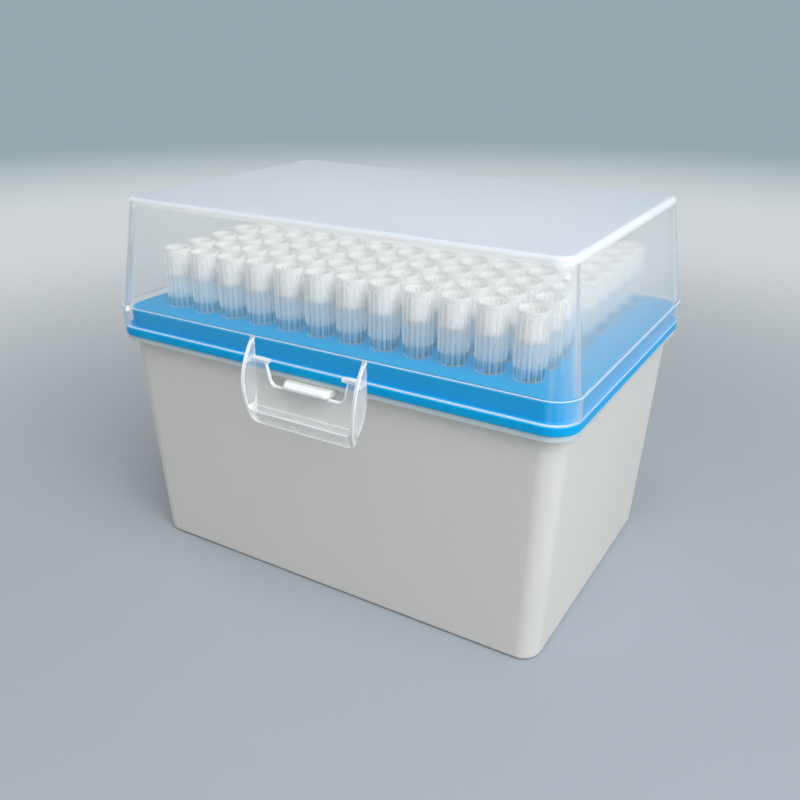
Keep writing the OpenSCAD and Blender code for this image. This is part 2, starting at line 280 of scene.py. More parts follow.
class Finish:  # a material, or the world, that is put together node by node
    def __init__(self, owner):
        self.owner = owner
        owner.use_nodes = True
        self.tree = owner.node_tree
        self.tree.nodes.clear()

    @cached_property
    def place(self):
        return self.node("TexCoord", output="Object")

    def along(self, axis):
        return self.node("SeparateXYZ", inputs={0: self.place}, output=axis)

    def rays(self, *kinds):  # 1 for rays of these kinds
        found = [self.node("LightPath", output="Is %s Ray" % kind) for kind in kinds]
        either = found[0]
        for other in found[1:]:
            either = either.maths("MAXIMUM", either, other)
        return either

    def node(self, kind, settings=None, inputs=None, output=0):
        made = self.tree.nodes.new("ShaderNode" + kind)
        for key, value in (settings or {}).items():
            setattr(made, key, value)
        for key, value in (inputs or {}).items():
            if isinstance(value, Value):
                self.tree.links.new(value.socket, made.inputs[key])
            else:
                made.inputs[key].default_value = value
        return Value(self, made.outputs[output]) if made.outputs else made

    def noise(self, size, detail=2.0, stretch=None):  # size of a blotch, in millimetres
        place = self.place
        if stretch:
            place = self.node("VectorMath", {"operation": "MULTIPLY"}, {0: place, 1: stretch})
        return self.node("TexNoise", {}, {"Vector": place, "Scale": 1 / (size * mm), "Detail": detail})

    def between(self, value, low, high):  # 0 below low, 1 above high
        return self.node("MapRange", {"interpolation_type": "SMOOTHSTEP"},
                         {"Value": value, "From Min": low, "From Max": high})

    def strip(self, low, high, soft=0.08, axis="Z"):  # 1 from low to high along an axis, in millimetres
        spot = self.along(axis)
        return self.between(spot, (low - soft) * mm, (low + soft) * mm) - self.between(
            spot, (high - soft) * mm, (high + soft) * mm)

    def colours(self, factor, one, two):
        return self.node("Mix", {"data_type": "RGBA"}, {0: factor, 6: one, 7: two}, output=2)

    def capped(self, value, most):
        return self.node("Clamp", {}, {0: value, "Max": most})

    def bump(self, heights, depth, strength=1.0):  # depth in millimetres
        return self.node("Bump", {}, {"Height": heights, "Distance": depth * mm, "Strength": strength})

    def principled(self, **sockets):
        names = {"colour": "Base Color", "rough": "Roughness", "normal": "Normal", "ior": "IOR",
                 "clear": "Transmission Weight", "specular": "Specular IOR Level",
                 "scatter": "Subsurface Weight", "scatterRadius": "Subsurface Radius",
                 "scatterScale": "Subsurface Scale"}
        return self.node("BsdfPrincipled", {}, {names[k]: v for k, v in sockets.items()})

    def mixed(self, factor, one, two):
        return self.node("MixShader", {}, {0: factor, 1: one, 2: two})

    def done(self, surface, output="OutputMaterial"):
        self.node(output, {}, {"Surface": surface})
        return self.owner


satin = {"ior": 1.49, "grainRough": 0.06, "grainBump": 0.6}


def satinPlastic(name, look):
    # moulded, opaque polypropylene with a fine spark-eroded grain
    finish = Finish(bpy.data.materials.new(name))
    blotches = finish.noise(look["blotch"], 3)
    grain = finish.noise(look["grain"], 2)
    colour = finish.colours(blotches, look["colour"], look["shade"])
    # bands of painted light: painted reflection, highlight and shade laid into the colour
    for axis, low, high, soft, amount, tint in look["paintedLight"]:
        colour = finish.colours(amount * finish.strip(low, high, soft, axis), colour, tint)
    rough = look["rough"] + look["roughSpread"] * (blotches - 0.5) + satin["grainRough"] * (grain - 0.5)
    normal = finish.bump(grain, look["grainDepth"], satin["grainBump"])
    return finish.done(finish.principled(
        colour=colour, rough=rough, normal=normal, ior=satin["ior"], specular=look["specular"],
        scatter=look["scatter"], scatterRadius=(1.0, 1.0, 1.0), scatterScale=look["scatterDepth"] * mm))


clear = {"hazeLeast": 0.7, "hazeSpread": 0.6, "streakStretch": (1, 1, 0.03), "streakFrom": 0.45,
         "streakTo": 0.65, "cornerPower": 1.5, "grazingPower": 2.5, "waves": 0.5, "milkRough": 0.4,
         "milkIor": 1.5, "coolFade": 0.5, "rimShade": 0.6, "coolShade": 0.7}


def clearPlastic(name, look):
    # clear moulded polypropylene: it bends what is behind it, and is milky along edges and where frosted
    finish = Finish(bpy.data.materials.new(name))
    flow = finish.noise(look["flow"], 2)
    facing = finish.node("LayerWeight", {}, {"Blend": 0.5}, output="Facing")
    rim, corner = (finish.node("Attribute", {"attribute_name": name}, output="Fac")
                   for name in ("rim", "corner"))
    haze, blur = look["haze"] * (clear["hazeLeast"] + clear["hazeSpread"] * flow), look["blur"]
    for low, high, fade, milk, frost in look["zones"]:
        zone = finish.strip(low, high, fade)
        haze, blur = haze + milk * zone, blur + frost * zone
    streaks = finish.between(finish.noise(look["streak"], 3, clear["streakStretch"]),
                             clear["streakFrom"], clear["streakTo"])
    turned = corner * (look["cornerHaze"] * facing ** clear["cornerPower"] + look["streakHaze"] * streaks)
    grazing = look["grazing"] * facing ** clear["grazingPower"]
    haze = finish.capped(haze + look["rimHaze"] * rim + turned + grazing, look["mostHaze"])
    waves = finish.bump(flow, look["waveDepth"], clear["waves"])
    sharp, soft = (finish.principled(colour=look["tint"], rough=look[k], normal=waves, ior=look["ior"],
                                     clear=1.0) for k in ("rough", "blurRough"))
    glass = finish.mixed(blur, sharp, soft)
    # from coolFrom up, the roof's milk is painted darker and bluer: a painted cool reflection
    coolFrom, coolTo = look["coolFrom"] * mm, (look["coolFrom"] + clear["coolFade"]) * mm
    cool = finish.between(finish.along("Z"), coolFrom, coolTo)
    milk = finish.principled(colour=finish.colours(cool, look["milk"], look["paintedRoofMilk"]),
                             rough=clear["milkRough"], normal=waves, ior=clear["milkIor"])
    lit = finish.node("BsdfTranslucent", {}, {"Color": look["milk"]})  # milk that is lit from behind
    glow = look["glow"] * (1 - clear["rimShade"] * rim) * (1 - clear["coolShade"] * cool)
    whole = finish.mixed(haze, glass, finish.mixed(glow, milk, lit))
    through = finish.node("BsdfTransparent", {}, {0: look["passes"]})
    return finish.done(finish.mixed(finish.rays("Shadow", "Diffuse"), whole, through))


def tipPlastic(name, look):
    # thin natural polypropylene: each wall passes some light straight and some of it scattered
    finish = Finish(bpy.data.materials.new(name))
    facing = finish.node("LayerWeight", {}, {"Blend": 0.5}, output="Facing")
    rim = finish.node("Attribute", {"attribute_name": "rim"}, output="Fac")
    flow = finish.noise(look["flow"], 2)
    solid = look["haze"] + look["edge"] * facing ** look["edgePower"] + look["rimHaze"] * rim
    solid = solid + look["flowHaze"] * (flow - 0.5)
    for low, high, fade, amount in look["milky"]:
        solid = solid + amount * finish.strip(low, high, fade)
    solid = finish.capped(solid, look["mostHaze"]) * (1 - look["lightPasses"] * finish.rays("Shadow"))
    paintedDeckLight = finish.strip(*look["paintedDeckLight"])  # painted blue light bounced up from the deck onto the lower collar
    milk = finish.principled(colour=finish.colours(paintedDeckLight, look["milk"], look["deckLitMilk"]),
                             rough=look["rough"], ior=look["ior"], specular=look["specular"])
    glow = finish.node("BsdfTranslucent", {}, {"Color": look["milk"]})
    through, shaded = (finish.node("BsdfTransparent", {}, {0: look[k]}) for k in ("passes", "slotShade"))
    # painted shade: camera rays through the slots just above the deck pass tinted dark blue
    slots = finish.strip(*look["slots"]) * (1 - rim) * (1 - finish.rays("Shadow"))
    return finish.done(finish.mixed(
        solid, finish.mixed(slots, through, shaded), finish.mixed(look["glow"], milk, glow)))


def porousFoam(name, look):
    # sintered polyethylene beads: dead matt, with fine pits
    finish = Finish(bpy.data.materials.new(name))
    beads = finish.node("TexVoronoi", {}, {"Vector": finish.place, "Scale": 1 / (look["bead"] * mm)})
    speckle = finish.noise(look["bead"] * look["speckle"], 3)
    colour = finish.colours(speckle, look["colour"], look["shade"])
    normal = finish.bump(beads, look["pit"], look["pitBump"])
    return finish.done(finish.principled(
        colour=colour, rough=look["rough"], normal=normal, specular=look["specular"]))


# base
tub = {"footL": 116.4, "footW": 78.0, "footR": 4.8, "wall": 1.6, "floor": 1.8, "footRound": 1.0,
       "rim": 1.6, "rimInset": 0.5, "wallInset": 2.3, "rimRound": 0.35, "skirtR": 6.7, "rimFillet": 0.6,
       "innerRound": 1.0, "innerBevel": 0.2, "leastR": 0.4,
       "catchW": 13.2, "catchH": 1.6, "catchOut": 1.0, "catchDrop": 3.2, "catchSlope": 0.55,
       "catchRound": 0.18, "hingeX": 38.0, "hingeOut": 2.4, "hingeDrop": 0.8, "pin": 2.4, "pinSteps": 48,
       "ear": 1.6, "earRound": 0.2, "clipW": 7.6, "clipWall": 0.8, "clipGap": 0.2, "pinGap": 0.05}
# bands of painted light, each an axis, from, to, fade, amount and colour
tubLook = {"colour": (0.785, 0.765, 0.725, 1), "shade": (0.75, 0.735, 0.7, 1), "blotch": 30.0,
           "grain": 0.35, "grainDepth": 0.012, "rough": 0.4, "roughSpread": 0.08,
           "scatter": 0.3, "scatterDepth": 1.6, "specular": 0.45,
           "paintedLight": [("Z", 59.9, 62.0, 0.5, 0.42, (0.25, 0.56, 0.75, 1)),  # rim, painted blue reflection of the deck above it
                     ("Y", -49.0, -44.2, 0.3, 0.95, (0.97, 0.97, 0.96, 1))]}  # catch, painted pale highlight where its slanted faces catch the light
collarDrop = 4.7  # how far the deck's collar reaches below its seat
latchGap, latchWall = 0.15, 1.0
skirtW, shoulderStep = 43.4, 0.7
lidHigh = nodeBox("lid")[1]
skirtL = lidHigh.x
baseTop = nodeBox("deck")[0].z + collarDrop


def tubWall(z, inset=0.0):  # half length, half width and corner radius of the drafted wall
    share = z / baseTop
    halfL = tub["footL"] / 2 + (skirtL - tub["wallInset"] - tub["footL"] / 2) * share
    halfW = tub["footW"] / 2 + (skirtW - tub["wallInset"] - tub["footW"] / 2) * share
    radius = tub["footR"] + (tub["skirtR"] - tub["wallInset"] / 2 - tub["footR"]) * share
    return halfL - inset, halfW - inset, max(radius - inset, tub["leastR"])


def makeTub(material):
    shell, wall, edge = Shape(), tub["wall"], tub["rimRound"]
    rimL, rimW = skirtL - tub["rimInset"], skirtW - tub["rimInset"]
    rimR, rimFoot = tub["skirtR"] - tub["rimInset"], baseTop - tub["rim"]
    fillet, bevel, bend = tub["rimFillet"], tub["innerBevel"], tub["innerRound"]
    rings = []
    for out, up in arcSteps(5):
        z = tub["footRound"] * up
        rings.append((*tubWall(z, tub["footRound"] * (1 - out)), z))
    rings.append((*tubWall(rimFoot - 2 * fillet), rimFoot - 2 * fillet))
    for up, out in arcSteps(4):  # fillet under the rim
        z = rimFoot - fillet + fillet * up
        rings.append((*tubWall(z, -fillet * out), z))
    for out, up in arcSteps(3):
        rings.append((rimL - edge * (1 - out), rimW - edge * (1 - out), rimR - edge * (1 - out),
                      rimFoot + edge * up))
    for up, back in arcSteps(3):
        rings.append((rimL - edge * back, rimW - edge * back, rimR - edge * back,
                      baseTop - edge + edge * up))
    rings.append((*tubWall(baseTop, wall - bevel), baseTop))
    rings.append((*tubWall(baseTop - bevel, wall), baseTop - bevel))
    for down, back in arcSteps(4):  # fillet at the inner foot
        z = tub["floor"] + bend - bend * down
        rings.append((*tubWall(z, wall + bend * back), z))
    shell.loft([roundedRing(*ring) for ring in rings])

    rootY = skirtW - tub["wallInset"] - wall / 2
    front = skirtW + latchGap + latchWall + tub["catchOut"]
    low, slope = baseTop - tub["catchDrop"], tub["catchH"] * tub["catchSlope"]
    high, half = low + tub["catchH"], tub["catchW"] / 2
    catch = Shape()  # four profiles of five points, set back at both ends
    for x, back in ((-half, slope), (-half + slope, 0), (half - slope, 0), (half, slope)):
        profile = [(-rootY, low), (-front + back, low), (-front + back, high - slope),
                   (min(-front + back + slope, -rootY), high), (-rootY, high)]
        catch.ring([(x, y, z) for y, z in profile])
    for k in range(3):
        catch.band(list(range(5 * k, 5 * k + 5)), list(range(5 * k + 5, 5 * k + 10)))
    catch.faces += [tuple(range(4, -1, -1)), tuple(range(15, 20))]
    shapes = [shell, rounded(catch, tub["catchRound"])]

    hingeY, hingeZ = skirtW + tub["hingeOut"], baseTop - tub["hingeDrop"]
    earR, earX = tub["pin"] / 2 + tub["clipWall"], tub["clipW"] / 2 + tub["clipGap"]
    ear = [(rootY, baseTop), (rootY, hingeZ - earR), *arcPoints((hingeY, hingeZ), earR, -90, 60, 12),
           (hingeY, baseTop)]
    for side in (-1, 1):
        middle = side * tub["hingeX"]
        for end in (-1, 1):
            near, far = sorted((middle + end * earX, middle + end * (earX + tub["ear"])))
            shapes.append(prism(ear, near, far, "x", tub["earRound"]))
        steps = tub["pinSteps"]
        pin = list(arcPoints((hingeY, hingeZ), tub["pin"] / 2, 0, 360 - 360 / steps, steps - 1))
        reach = earX + tub["ear"] / 2
        shapes.append(prism(pin, middle - reach, middle + reach, "x"))
    return piece("tub", shapes, "box", material, ["base"])


makeTub(satinPlastic("tubPlastic", tubLook))

# deck
deck = {"top": 68.0, "plate": 1.6, "raisedL": 61.6, "raisedW": 41.2, "raisedR": 5.6, "wall": 1.5,
        "edge": 0.5, "flange": 2.0, "flangeL": 63.6, "flangeW": 43.2, "flangeR": 6.5,
        "pitch": 9.0, "cols": 12, "rows": 8, "hole": 5.9, "holeEdge": 0.22, "holeSteps": 24,
        "collarT": 1.4, "collarR": 3.95, "collarGap": 0.3, "collarRound": 0.3, "collarBevel": 0.2,
        "margin": 0.6, "fillet": 0.3, "flangeRound": 0.3, "flangeFoot": 0.15, "leastR": 0.3}
deckLook = {"colour": (0.0, 0.405, 0.81, 1), "shade": (0.0, 0.38, 0.77, 1), "blotch": 22.0,
            "grain": 0.3, "grainDepth": 0.008, "rough": 0.36, "roughSpread": 0.06,
            "scatter": 0.08, "scatterDepth": 0.8, "specular": 0.15,
            "paintedLight": [("Z", 67.7, 69.0, 0.15, 0.55, (0.07, 0.33, 0.6, 1))]}  # upper face, painted shade under the tips


def deckRing(halfL, halfW, radius, z):
    # an outline whose straight sides have a point at each line of the hole pattern
    spanX, spanY = deck["pitch"] * deck["cols"] / 2, deck["pitch"] * deck["rows"] / 2
    part = deck["pitch"] * 4 / deck["holeSteps"]
    alongX = [spanX - part * k for k in range(1, round(2 * spanX / part))]
    alongY = [spanY - part * k for k in range(1, round(2 * spanY / part))]
    sides = [[(x, halfW, z) for x in alongX], [(-halfL, y, z) for y in alongY],
             [(-x, -halfW, z) for x in alongX], [(halfL, -y, z) for y in alongY]]
    corners, points = roundedRing(halfL, halfW, radius, z, 8), []
    count = len(corners) // 4
    for quarter, side in enumerate(sides):
        points += corners[quarter * count:(quarter + 1) * count] + side
    return points


def makeDeck(material):
    shape = Shape()
    seat, low = baseTop, nodeBox("deck")[0].z
    top, under, edge = deck["top"], deck["top"] - deck["plate"], deck["edge"]
    collarL, collarW = (half - tub["wall"] - deck["collarGap"] for half in tubWall(low)[:2])
    raised = (deck["raisedL"], deck["raisedW"], deck["raisedR"])
    flange = (deck["flangeL"], deck["flangeW"], deck["flangeR"])
    collar = (collarL, collarW, deck["collarR"])
    flangeTop, inner = seat + deck["flange"], deck["collarT"]
    fillet, flangeEdge, foot = deck["fillet"], deck["flangeRound"], deck["flangeFoot"]
    collarEdge, bevel = deck["collarRound"], deck["collarBevel"]

    def inset(size, amount, z):
        return size[0] - amount, size[1] - amount, max(size[2] - amount, deck["leastR"]), z

    rings = [inset(raised, edge + deck["margin"], top)]
    for out, down in arcSteps(4):
        rings.append(inset(raised, edge * (1 - out), top - edge * down))
    rings.append(inset(raised, 0, flangeTop + fillet))
    for down, out in arcSteps(3):
        rings.append(inset(raised, -fillet * out, flangeTop + fillet - fillet * down))
    for out, down in arcSteps(3):
        rings.append(inset(flange, flangeEdge * (1 - out), flangeTop - flangeEdge * down))
    for down, back in arcSteps(2):
        rings.append(inset(flange, foot * back, seat + foot - foot * down))
    rings += [inset(collar, 0, seat), inset(collar, 0, low + collarEdge), inset(collar, collarEdge, low),
              inset(collar, inner - bevel, low), inset(collar, inner, low + bevel),
              inset(collar, inner, flangeTop), inset(raised, deck["wall"], flangeTop),
              inset(raised, deck["wall"], under)]
    made = shape.loft([deckRing(*ring) for ring in rings], capped=False)

    # plate with a round hole in each square of the pattern
    steps, pitch, hole, rounding = deck["holeSteps"], deck["pitch"], deck["hole"] / 2, deck["holeEdge"]
    half, quarter = pitch / 2, steps // 4
    square = []  # points round one square of the pattern
    for turn in range(4):
        for k in range(quarter):
            x, y = half, -half + pitch * k / quarter
            for _ in range(turn):
                x, y = -y, x
            square.append((x, y))
    known = {}

    def gridPoint(x, y, z):  # neighbouring squares share their points
        key = (round(x * 1000), round(y * 1000), round(z * 1000))
        if key not in known:
            known[key] = shape.ring([(x, y, z)])[0]
        return known[key]

    for row in range(deck["rows"]):
        for col in range(deck["cols"]):
            cx = (col - (deck["cols"] - 1) / 2) * pitch
            cy = (row - (deck["rows"] - 1) / 2) * pitch
            circles = []
            for radius, z in ((hole + rounding, top), (hole + rounding * 0.3, top - 0.07),
                              (hole, top - rounding), (hole, under)):
                circles.append(shape.ring([
                    (cx + radius * math.cos(math.atan2(y, x)), cy + radius * math.sin(math.atan2(y, x)), z)
                    for x, y in square]))
            shape.band([gridPoint(cx + x, cy + y, top) for x, y in square], circles[0])
            for one, two in zip(circles, circles[1:]):
                shape.band(one, two)
            shape.band(circles[3], [gridPoint(cx + x, cy + y, under) for x, y in square])

    # margin between the hole pattern and the outline: quads along the sides, fans at the corners
    for ring, z in ((made[0], top), (made[-1], under)):
        spanX, spanY, part = pitch * deck["cols"] / 2, pitch * deck["rows"] / 2, pitch / quarter
        count = len(ring)
        nearest = []
        for index in ring:
            x, y, _ = shape.points[index]
            x = max(-spanX, min(spanX, round(x / part) * part))
            y = max(-spanY, min(spanY, round(y / part) * part))
            nearest.append(gridPoint(x, y, z))
        for k in range(count):
            after = (k + 1) % count
            face = [ring[k], ring[after], nearest[after], nearest[k]]
            if nearest[after] == nearest[k]:
                face.pop()
            shape.faces.append(tuple(face))
    return piece("tip_deck", [shape], "box", material, ["deck"])


makeDeck(satinPlastic("deckPlastic", deckLook))

# lid
lid = {"edge": 63.3, "wall": 1.2, "roof": 1.3, "shoulder": 69.0, "topL": 59.6, "topW": 38.9, "topR": 4.4,
       "topRound": 1.2, "roofMargin": 4, "ceilingMargin": 5, "innerRound": 0.8, "skirtRound": 0.2,
       "footRound": 0.32, "footBevel": 0.2, "leastR": 0.3, "mouth": 1.9, "armH": 2.8, "armSlope": 0.72}
# zones are from, to, fade, milk and blur
lidLook = {"tint": (0.993, 0.993, 0.99, 1), "milk": (0.95, 0.96, 0.965, 1), "haze": 0.006, "mostHaze": 0.84,
           "rimHaze": 0.75, "grazing": 0.2, "ior": 1.2, "flow": 26.0, "waveDepth": 0.15, "rough": 0.11,
           "blur": 0.0, "blurRough": 0.45,
           "zones": [(71.0, 95.3, 2.0, 0.05, 0), (76.0, 95.3, 3.0, 0.05, 0), (82.0, 95.3, 4.0, 0.05, 0),
                     (95.1, 97.5, 0.08, 0.3, 0.9), (95.4, 96.45, 0.1, 0.45, 0)],
           # the roof's milk colour is a painted cool reflection, darker and bluer than the walls'
           "paintedRoofMilk": (0.755, 0.82, 0.915, 1), "coolFrom": 95.95,
           "streak": 1.4, "streakHaze": 0.12, "cornerHaze": 1.2,
           "rims": 0.36, "passes": (0.985, 0.985, 0.985, 1), "glow": 0.6}


def lidWall(z, inset=0.0):
    share = (z - lid["shoulder"]) / (lidHigh.z - lid["shoulder"])
    foot = (skirtL - shoulderStep, skirtW - shoulderStep, tub["skirtR"] - shoulderStep)
    top = (lid["topL"], lid["topW"], lid["topR"])
    return tuple(max(a + (b - a) * share - inset, lid["leastR"]) for a, b in zip(foot, top))


def makeLid(material):
    shell = Shape()
    top, wall, edge, shoulder = lidHigh.z, lid["wall"], lid["edge"], lid["shoulder"]
    skirt, small = (skirtL, skirtW, tub["skirtR"]), lid["skirtRound"]
    topR, footR, innerR, bevel = lid["topRound"], lid["footRound"], lid["innerRound"], lid["footBevel"]
    outside, inside = [], []  # rings from the roof down to the edge

    def skirtRing(inset, z):
        return (*(side - inset for side in skirt), z)

    outside.append((*lidWall(top, topR + lid["roofMargin"]), top))
    for out, down in arcSteps(7):
        outside.append((*lidWall(top - topR, topR * (1 - out)), top - topR * down))
    outside.append((*lidWall(shoulder), shoulder))
    for out, down in arcSteps(3):
        outside.append(skirtRing(small * (1 - out), shoulder - small * down))
    for down, back in arcSteps(3):
        outside.append(skirtRing(footR * back, edge + footR * (1 - down)))
    under, inner = top - lid["roof"], shoulder - wall
    inside.append((*lidWall(under, wall + lid["ceilingMargin"]), under))
    for out, down in arcSteps(4):
        inside.append((*lidWall(under - innerR * down, wall + innerR * (1 - out)), under - innerR * down))
    slope = shoulderStep / 2
    inside += [(*lidWall(inner + slope, wall), inner + slope), skirtRing(wall, inner - slope),
               skirtRing(wall, edge + bevel), skirtRing(wall - bevel, edge)]
    shell.loft([roundedRing(*ring, 12) for ring in outside + inside[::-1]])

    shapes = [shell]
    hingeY, hingeZ = skirtW + tub["hingeOut"], baseTop - tub["hingeDrop"]
    bore = tub["pin"] / 2 + tub["pinGap"]
    outerR, root = bore + tub["clipWall"], skirtW - wall / 2
    gap = math.degrees(math.asin(lid["mouth"] / 2 / bore))
    armOut = outerR * lid["armSlope"]
    clip = [(root, edge), (root, edge + lid["armH"]), (skirtW, edge + lid["armH"]),
            (hingeY + armOut, hingeZ + armOut),
            *arcPoints((hingeY, hingeZ), outerR, 30, -90 + gap * bore / outerR, 14),
            *arcPoints((hingeY, hingeZ), bore, -90 + gap, 270 - gap, 30),
            *arcPoints((hingeY, hingeZ), outerR, 270 - gap * bore / outerR, 185, 10),
            (hingeY - outerR, edge)]
    for side in (-1, 1):
        near, far = side * tub["hingeX"] - tub["clipW"] / 2, side * tub["hingeX"] + tub["clipW"] / 2
        shapes.append(prism(clip, near, far, "x"))
    return piece("clear_lid", shapes, "lid", material, ["lid"], rims=lidLook["rims"])


lidPlastic = clearPlastic("lidPlastic", lidLook)
makeLid(lidPlastic)

# latch
latch = {"half": 16.3, "footHalf": 14.9, "depth": 5.1, "cheekR": 18.4, "height": 21.0, "round": 2.4,
         "cheekTop": 0.12, "cheekSteps": 22, "least": 0.06, "skin": 0.02, "ease": 0.3, "overlap": 0.1,
         "edge": 0.3, "sweepH": 11.0, "lipH": 4.0, "innerRound": 1.2, "windowHalf": 10.5,
         "windowRound": 1.8, "windowLean": 1.2, "catchGap": 0.1, "bead": 0.44, "plateTop": 64.2,
         "stripOut": 0.6, "stripRound": 0.14}
latchLook = {"tint": (0.99, 0.993, 0.995, 1), "milk": (0.98, 0.98, 0.975, 1), "haze": 0.2, "mostHaze": 0.92,
             "rimHaze": 0.78, "grazing": 0.7, "ior": 1.25, "flow": 9.0, "waveDepth": 0.12, "rough": 0.05,
             "blur": 0.05, "blurRough": 0.4, "zones": [(63.2, 64.4, 0.08, 0.45, 0)],
             "streak": 1.4, "streakHaze": 0, "cornerHaze": 0,
             "rims": 0.3, "passes": (0.98, 0.98, 0.98, 1), "glow": 0.2,
             "paintedRoofMilk": (0.98, 0.98, 0.975, 1), "coolFrom": 96.42}


def makeLatch(material):
    back, hinge = -(skirtW + latchGap), lid["shoulder"]
    foot, half, wall, edge = hinge - latch["height"], latch["half"], latchWall, latch["edge"]
    skin, ease, overlap = latch["skin"], latch["ease"], latch["overlap"]
    cheekTop = hinge - latch["cheekTop"]
    sweepTop, lipTop = foot + latch["sweepH"], foot + latch["lipH"]
    sink = latch["cheekR"] - latch["depth"]
    middle = hinge - math.sqrt(latch["cheekR"] ** 2 - sink ** 2)

    def reach(z):  # how far the front edge stands out at a height
        return math.sqrt(latch["cheekR"] ** 2 - (z - middle) ** 2) - sink

    def halfAt(z):  # half width at a height
        return half - (half - latch["footHalf"]) * max(sweepTop - z, 0) / latch["sweepH"]

    def sweep(near, far, low):  # quarter of an ellipse from the plate to the lip, as (out, z)
        return [(near + (far - near) * share, sweepTop - (sweepTop - low) * down)
                for down, share in arcSteps(12)]

    def sweepOut(z, near, far, low):  # how far out the sweep is at a height
        down = min(max((sweepTop - z) / (sweepTop - low), 0), 1)
        return near + (far - near) * (1 - math.sqrt(1 - down * down))

    lipOut = reach(lipTop)
    behind = lipTop - wall

    def side(inset, low, radius):  # right side of an outline: down, round the corner, in to the middle
        steps = latch["cheekSteps"]
        heights = [cheekTop - (cheekTop - low - radius) * k / steps for k in range(steps + 1)]
        points = [(halfAt(z) - inset, z) for z in heights]
        corner = halfAt(low + radius) - inset - radius
        points += [(corner + radius * (1 - down), low + radius - radius * along)
                   for along, down in arcSteps(8)][1:]
        return points + [(corner * share, low) for share in (0.66, 0.33, 0)]

    # frame: cheeks and lip, each ring a section from the outside to the inside
    frame, rings = Shape(), []
    for (ox, oz), (ix, iz) in zip(side(0, foot, latch["round"]), side(wall, lipTop, latch["innerRound"])):
        across = math.hypot(ix - ox, iz - oz)
        outer, inner = max(reach(oz), latch["least"]), max(reach(iz), latch["least"])
        rear = outer - wall
        if oz > behind:
            rear = min(max(sweepOut(oz, 0, lipOut - wall, behind), 0), outer - skin)
        innerRear = min(sweepOut(iz, 0, lipOut - wall, behind), inner - skin)
        soft = min(edge, outer / 2)
        section = ((0, min(rear, outer - soft)), (0, outer - soft),
                   (soft * ease / across, outer - soft * ease), (soft / across, outer),
                   (1 - soft / across, inner), (1 - soft * ease / across, inner - soft * ease),
                   (1, inner - soft), (1, min(innerRear, inner - soft)))
        rings.append([(ox + (ix - ox) * share, back - out, oz + (iz - oz) * share)
                      for share, out in section])  # share across the wall, and how far out
    rings += [[(-x, y, z) for x, y, z in ring] for ring in rings[-2::-1]]
    frame.loft(rings)

    # plate, swept out to the lip, with the window cut down into it
    front = sweep(wall, lipOut - overlap, lipTop + overlap)
    rear = sweep(0, lipOut - wall + overlap, behind + overlap)
    reachX = halfAt(lipTop) - wall / 2
    profile = [(back - wall, latch["plateTop"]), *((back - out, z) for out, z in front),
               *((back - out, z) for out, z in reversed(rear)), (back, latch["plateTop"])]
    plate = prism(profile, -reachX, reachX, "x")
    windowLow = baseTop - tub["catchDrop"] - latch["catchGap"]
    windowHalf, windowR, over = latch["windowHalf"], latch["windowRound"], latch["plateTop"] + 1
    bead = latch["bead"]
    window = [(windowHalf + latch["windowLean"] + bead, over),
              *arcPoints((windowHalf - windowR, windowLow + windowR), windowR + bead, 0, -90, 8)]
    window += [(-x, z) for x, z in reversed(window)]
    beadPath = [(x, back - wall / 2, min(z, latch["plateTop"] - bead)) for x, z in window]
    edgePath = [(x, back - max(reach(z), edge + 0.05) + edge, z)
                for x, z in side(edge, foot + edge, latch["round"] - edge)]
    edgePath += [(-x, y, z) for x, y, z in edgePath[-2::-1]]
    cutPlate = cutOut(plate, prism(window, back - 2 * wall, back + wall, "y"))
    shapes = [frame, cutPlate, tube(beadPath, bead, 14), tube(edgePath[2:-2], edge, 12)]
    low, high = lid["edge"], latch["plateTop"]
    for end in (-1, 1):  # thicker strip along the plate's top, on each side of the window
        near, far = sorted((end * windowHalf, end * (half - wall / 2)))
        strip = [(near, low), (far, low), (far, high), (near, high)]
        shapes.append(prism(strip, back - wall - latch["stripOut"], back - skin, "y", latch["stripRound"]))
    return piece("front_latch", shapes, "latch", material, ["latch"],
                 rims=latchLook["rims"])


latchWeb = {"drop": 0.9, "height": 1.0, "steps": 8, "into": 0.16, "out": 0.12}


def makeLatchWeb(material):
    # thin living hinge from the lid's skirt to the top of each cheek
    shape = Shape()
    hinge, back = lid["shoulder"], -(skirtW + latchGap)
    rear, front = back + latchWeb["into"], back - latchWeb["out"]
    for side in (-1, 1):
        near, far = sorted((side * latch["half"], side * (latch["half"] - latchWall)))
        rings = []
        for k in range(latchWeb["steps"] + 1):
            z = hinge - latchWeb["drop"] + latchWeb["height"] * k / latchWeb["steps"]
            rings.append([(near, rear, z), (far, rear, z), (far, front, z), (near, front, z)])
        shape.loft(rings)
    web = bpy.data.objects.new("latch_web", shape.mesh("latch_web"))
    bpy.context.scene.collection.objects.link(web)
    web.data.materials.append(material)
    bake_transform(web)
    print("latch_web built")


latchPlastic = clearPlastic("latchPlastic", latchLook)
makeLatch(latchPlastic)
makeLatchWeb(latchPlastic)

